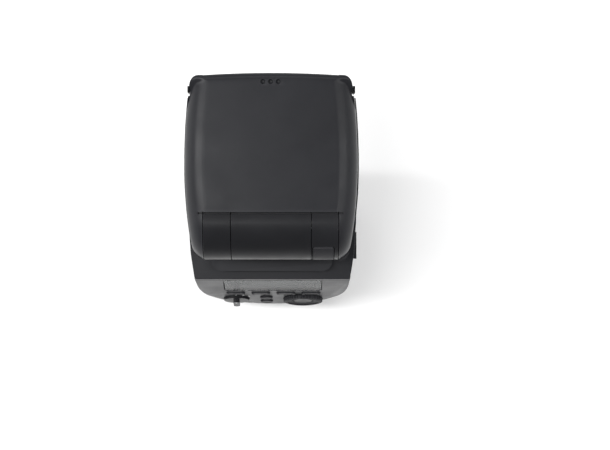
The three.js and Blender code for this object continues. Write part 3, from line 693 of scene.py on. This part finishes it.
def panel_holes():
    x0, x1, y0, y1 = DISPLAY_BOX
    gap = 0.25
    tools = [prism("hole", round_rect(x0 - gap, x1 + gap, y0 - gap, y1 + gap, 2), -5, 3)]
    tools += [prism("hole", round_rect(x - 4.25, x + 4.25, -5.25, -1.55, 1.4), -5, 3) for x in KEYS_X]
    rounds = [(DIAL, DIAL_R), (POWER, POWER_R)] + [(place, CAP_R) for _, _, place in CAPS]
    tools += [bar(radius + gap, -5, 3, centre=place) for place, radius in rounds]
    return [on_panel(tool) for tool in tools]


def door_space(clearance):
    """The battery cover's room through the side wall, with its hinge knuckle."""
    top = COVER_TOP + clearance
    space = block(-FAR, COVER_IN + clearance, DOOR_HINGE[1], COVER_REAR + clearance, 0, top)
    return join(space, bar(DOOR_KNUCKLE + clearance, 0, top, centre=DOOR_HINGE, segments=64))


def make_body():
    outer = body_form("body")
    shell = cut(body_form("shell"), body_form("inner", WALL, 90), door_space(0.25))
    for name, low, high in (("body_front", -FAR, SPLIT_Y - SEAM), ("body_rear", SPLIT_Y + SEAM, FAR)):
        half = shell.copy()
        half.data = shell.data.copy()
        bpy.context.scene.collection.objects.link(half)
        keep(half, block(-FAR, FAR, low, high, 0, DECK_LOW - 0.25))
        cut(half, bar(1, 60, 68.2, centre=DOOR_HINGE, segments=24))
        if low < 0:
            cut(half, prism("lamp", round_rect(-12.2, 12.2, 32.8, 47.2, 3), -40, -20, "Y"))
        else:
            cut(half, *panel_holes())
        soften(half, 0.3)
        piece(half, name, SHELL, "body", "body_plastic", name.replace("body_", "") + "_shell")
    bpy.data.objects.remove(shell)

    deck = keep(outer, block(-FAR, FAR, -FAR, FAR, DECK_LOW, FAR))
    cut(deck, bar(10, 60, 80), bar(14, 70.2, 80))
    piece(soften(deck, 0.7, 4), "deck", SHELL, "body", "body_plastic", "top_deck")

    lamp = prism("lamp", round_rect(-12, 12, 33, 47, 2.8), -25.5, -23.4, "Y")
    lamp = keep(lamp, bar(120, 20, 60, centre=(0, 120 - 25.5), segments=256))
    piece(soften(lamp, 0.4), "lamp_window", RED, "body", "red_lens", "focus_lamp_window")
    for k in range(3):
        rib = prism("rib", round_rect(-11, 11, 35.5 + k * 4, 36.1 + k * 4, 0.28, 4), -23.3, -22.7, "Y")
        piece(rib, "lamp_rib_%d" % (k + 1), RED, "body", "red_lens")


def make_door():
    door = cut(body_form("door"), body_form("inner", 2.0, 90))
    keep(door, block(-FAR, COVER_IN, DOOR_HINGE[1], COVER_REAR, 0, COVER_TOP))
    knuckle = bar(DOOR_KNUCKLE, 0, COVER_TOP, centre=DOOR_HINGE)
    keep(knuckle, body_form("limit"), block(-FAR, -31.6, -FAR, 0, 0, FAR))
    join(door, knuckle, bar(2, 20, COVER_TOP, centre=DOOR_HINGE, segments=48))
    cut(door, bar(1, 0, 80, centre=DOOR_HINGE, segments=24))
    for k in range(7):
        z = 50 + k * 1.9
        join(door, prism("rib", round_rect(4, 15.5, z, z + 0.8, 0.39, 4), -36.0, -33.4, "X"))
    piece(soften(door, 0.22), "battery_cover_skin", SHELL, "battery_cover", "body_plastic", "battery_door")
    arrow = [(9.75, 40.2), (12.6, 45.0), (6.9, 45.0)]
    mark = prism("mark", arrow, -35.3, -34.0, "X")
    piece(soften(mark, 0.1, 2), "cover_arrow", MARK, "battery_cover", "body_plastic")


def make_controls():
    x0, x1, y0, y1 = DISPLAY_BOX
    pane = on_panel(prism("pane", round_rect(x0, x1, y0, y1, 2, 10), -1.3, -0.05))
    piece(soften(pane, 0.2), "display_window", GLASS, "body", "display_glass", "lcd_window")
    mask = prism("mask", round_rect(x0 + 0.3, x1 - 0.3, y0 + 0.3, y1 - 0.3, 1.8), -1.6, -1.4)
    cut(mask, prism("opening", round_rect(x0 + 3, x1 - 3, y0 + 2.4, y1 - 2.4, 0.8), -3, 3))
    piece(on_panel(mask), "display_mask", TRIM, "body", "trim_plastic")

    for i, x in enumerate(KEYS_X):
        cap = prism("cap", round_rect(x - 4, x + 4, -5, -1.8, 1.2), -2.6, 0.7)
        cut(cap, bar(30, x - 2.9, x + 2.9, "X", (-3.4, 30.42), segments=400))
        soften(on_panel(cap), 0.25)
        name = "function_button_%d" % (i + 1)
        piece(cap, name.replace("button", "cap"), BUTTON, "key_%d" % (i + 1), "button_plastic", name)

    count = 40
    star = []
    for k in range(4 * count):
        radius = DIAL_R if k % 4 < 2 else DIAL_R - 0.4
        angle = TAU * k / (4 * count)
        star.append((DIAL[0] + radius * math.cos(angle), DIAL[1] + radius * math.sin(angle)))
    dial = prism("dial", star, -1.8, 1.4)
    join(dial, turned("crown", [(0, -1.5), (8.0, -1.5), (8.0, 1.5), (7.3, 1.75), (0, 1.75)], centre=DIAL))
    room = SET_R + 0.25
    cut(dial, turned("dish", [(0, -4), (room, -4), (room, 0.9), (6.9, 1.4), (7.0, 3), (0, 3)], centre=DIAL))
    piece(soften(on_panel(dial), 0.12, 2), "dial_ring", BUTTON, "dial", "button_plastic", "select_dial")
    crown = [(0, -2.4), (SET_R, -2.4), (SET_R, 0.7), (SET_R - 0.5, 1.1), (3.0, 1.0), (0, 0.75)]
    cap = turned("set", crown, centre=DIAL)
    piece(soften(on_panel(cap), 0.15), "set_cap", TRIM, "set_key", "trim_plastic", "set_button")

    px, py = POWER
    knob = bar(POWER_R, -1.8, 1.0, centre=POWER)
    join(knob, prism("grip", round_rect(px - 1.4, px + 1.4, py - 4.8, py + 4.8, 1.3), 0.5, 2.8))
    piece(soften(on_panel(knob), 0.3), "power_knob", TRIM, "power_switch", "trim_plastic", "power_lever")
    dot = bar(0.45, 2.6, 2.86, centre=(px, py + 3.5), segments=24)
    piece(on_panel(dot), "power_dot", MARK, "power_switch", "trim_plastic")
    for k, angle in enumerate((90, 65, 40)):
        turn = math.radians(angle)
        place = (px + 7.4 * math.cos(turn), py + 7.4 * math.sin(turn))
        mark = bar(0.4, -0.15, 0.06, centre=place, segments=24)
        piece(on_panel(mark), "power_mark_%d" % (k + 1), MARK, "body", "body_plastic")

    crown = [(0, -2.4), (CAP_R, -2.4), (CAP_R, 0.5), (CAP_R - 0.4, 0.8), (1.6, 0.72), (0, 0.6)]
    for name, body, place in CAPS:
        cap = turned("cap", crown, centre=place)
        soften(on_panel(cap), 0.12)
        piece(cap, name.replace("button", "cap"), BUTTON, body, "button_plastic", name)


# ---- Foot -------------------------------------------------------------------------------------------
SCREWS = ((4.5, 7.6), (-4.5, 7.6), (4.5, -6.6), (-4.5, -6.6))
SCREW_HEAD = [(0, 0.3), (0.95, 0.3), (1.2, 0.5), (1.2, 1.35), (0.8, 1.4), (0.8, 7.5), (0, 7.5)]
CONTACTS = (
    ("centre", 0, -1.9, 1.2), ("1", 3.1, 0.9, 0.7), ("2", -3.1, 0.9, 0.7), ("3", 1.8, 3.6, 0.7),
    ("4", -1.8, 3.6, 0.7),
)
LEVER_LOW, LEVER_HIGH = 4.7, 7.9
LEVER_TURN = math.radians(-22)


def make_foot():
    housing = prism("housing", round_rect(-17, 17, -18, 19, 9, 16), 8.2, 14.7)
    join(housing, bar(10.6, 4.7, 8.9, segments=96))
    cut(housing, block(-4.75, 4.75, -4.45, 5.9, 0, 7.3), block(-13.4, -6.2, 14, 21, 9.3, 13.1))
    cut(housing, bar(1.3, 0, 12.2, centre=(0, -6.4), segments=24))
    cut(housing, *[bar(0.95, 0, 7.8, centre=place, segments=24) for place in SCREWS])
    piece(soften(housing, 0.9, 4), "foot_block", SHELL, "body", "body_plastic", "foot_housing")

    for i, (x, y) in enumerate(SCREWS):
        screw = turned("screw", SCREW_HEAD, centre=(x, y), segments=32)
        cross = block(x - 0.75, x + 0.75, y - 0.14, y + 0.14, 0, 0.8)
        join(cross, block(x - 0.14, x + 0.14, y - 0.75, y + 0.75, 0, 0.8))
        cut(screw, cross)
        soften(screw, 0.05, 2)
        piece(screw, "shoe_screw_%d" % (i + 1), STEEL, "body", "steel", "foot_screw_%d" % (i + 1))

    for name, x, y, radius in CONTACTS:
        dome = []
        for k in range(7):
            turn = math.pi / 2 * k / 6
            dome.append((radius * math.sin(turn), -0.8 + radius * 0.45 * (1 - math.cos(turn))))
        pin = turned("pin", dome + [(radius, 4.6), (0, 4.6)], centre=(x, y), segments=40)
        piece(pin, "shoe_pin_" + name, GOLD, "shoe_contact_" + name, "contact_brass", "contact_pin_" + name)

    half = 3.6          # of the lever's arm
    lever = bar(14.8, LEVER_LOW, LEVER_HIGH, segments=128)
    arm = prism("arm", round_rect(-half, half, 12, 24, 1.6), LEVER_LOW, LEVER_HIGH)
    side = [(21.4, 5), (24, 5), (24, 8.8), (23.6, 9.2), (22.6, 9.2), (22.2, 8.8)]
    lug = prism("lug", side, -half, half, "X")
    join(lever, arm, lug)
    for k in range(4):
        x = -2.55 + 1.7 * k
        join(lever, prism("rib", round_rect(x - 0.35, x + 0.35, 5.6, 8.7, 0.3, 4), 23.6, 24.4, "Y"))
    cut(lever, bar(10.9, 0, 12, segments=128))
    lever.data.transform(Matrix.Rotation(LEVER_TURN, 4, "Z"))
    piece(soften(lever, 0.3), "locking_lever", TRIM, "foot_lever", "trim_plastic", "lock_lever")

    button = prism("button", round_rect(-13.1, -6.5, 9.6, 12.8, 0.8), 15.4, 19.9, "Y")
    cut(button, bar(12, -20, 0, "X", (19.6 + 12 - 0.15, 11.2), segments=200))
    soften(button, 0.25)
    piece(button, "foot_button", BUTTON, "foot_release", "button_plastic", "lock_release_button")


# ---- Inside, and the CAD nodes that stay ------------------------------------------------------------
def make_cells():
    for i in range(1, 5):
        x0, x1, y0, y1, z0, z1 = node_box("aa_cell_%d" % i)
        place = ((x0 + x1) / 2, (y0 + y1) / 2)
        radius = (x1 - x0) / 2
        top = z1 - 1
        side = [(radius - 0.8, z0), (radius, z0 + 0.7), (radius, top - 0.7), (radius - 0.7, top)]
        wrap = turned("wrap", [(0, z0)] + side + [(0, top)], centre=place)
        piece(wrap, "cell_wrap_%d" % i, WRAP, "body", "cell_wrap", "aa_cell_%d" % i)
        side = [(5.4, top), (5.2, top + 0.15), (2.6, top + 0.2), (2.5, z1 - 0.15), (2.3, z1)]
        cap = turned("cap", [(0, top)] + side + [(0, z1)], centre=place)
        piece(cap, "cell_cap_%d" % i, STEEL, "body", "steel")


KEPT = (
    (STEEL, "foot_plate", "lock_pin", "door_hinge_pin", "swivel_ring", "battery_contact_plate", "tilt_axle",
     "zoom_motor", "lead_screw", "guide_rod"),
    (TRIM, "foot_insulator"),
    (INNER, "battery_tray"),
    (WHITE, "focus_lamp_led"),
    (DISPLAY, "lcd_panel"),
    (BOARD, "control_board", "main_board"),
    (SLEEVE, "main_capacitor"),
    (MIRROR, "reflector"),
    (TUBE, "flash_tube"),
)


def dress_kept_nodes():
    """The CAD nodes that show as they are get a material and softer edges."""
    for material, *names in KEPT:
        for name in names:
            obj = bpy.data.objects[name]
            if obj.data.materials:
                obj.data.materials[0] = material
            else:
                obj.data.materials.append(material)
            bevel = obj.modifiers.new("edge", "BEVEL")
            bevel.width = 0.12 * MM
            bevel.segments = 2
            bevel.limit_method = "ANGLE"
            bevel.angle_limit = math.radians(32)
            bevel.harden_normals = True


# ---- Stage ------------------------------------------------------------------------------------------
FLOOR_Z, FLOOR_HALF = -1.0, 1500
CAMERA_PLACE, CAMERA_LENS = (-0.0139, 0.0010, 0.915), 117.0    # metres, millimetres


def area_light(name, place, size, energy, target=(0, 0, 0.09)):
    data = bpy.data.lights.new(name, "AREA")
    data.shape = "RECTANGLE"
    data.size, data.size_y = size
    data.energy = energy
    light = bpy.data.objects.new(name, data)
    light.location = place
    light.rotation_euler = (Vector(target) - Vector(place)).to_track_quat("-Z", "Y").to_euler()
    bpy.context.scene.collection.objects.link(light)


def make_stage():
    corners = [(x * FLOOR_HALF, y * FLOOR_HALF, FLOOR_Z) for x, y in ((-1, -1), (1, -1), (1, 1), (-1, 1))]
    floor = new_object("floor", corners, [(0, 1, 2, 3)])
    floor.data.materials.append(painted("floor_paper", (0.93, 0.93, 0.93), (0.95, 0.95, 0.95), 0.8, 12, 300))

    world = bpy.data.worlds.new("studio")
    world.use_nodes = True
    background = world.node_tree.nodes["Background"]
    background.inputs["Color"].default_value = (1, 1, 1, 1)
    background.inputs["Strength"].default_value = 0.42
    bpy.context.scene.world = world
    area_light("key", (0.50, -0.05, 0.66), (0.13, 1.1), 8.0)
    area_light("fill", (-0.60, -0.05, 0.62), (0.22, 1.0), 4.2)
    area_light("front", (0.0, -0.75, 0.70), (1.0, 0.25), 2.5)

    data = bpy.data.cameras.new("camera")
    data.lens = CAMERA_LENS
    data.sensor_width = 36
    camera = bpy.data.objects.new("camera", data)
    camera.location = CAMERA_PLACE
    camera.rotation_euler = (0, 0, math.pi)
    bpy.context.scene.collection.objects.link(camera)
    scene = bpy.context.scene
    scene.camera = camera
    scene.view_settings.view_transform = "Standard"


make_head_shells()
make_lens()
make_panels()
make_yoke()
make_body()
make_door()
make_controls()
make_foot()
make_cells()
dress_kept_nodes()
make_stage()
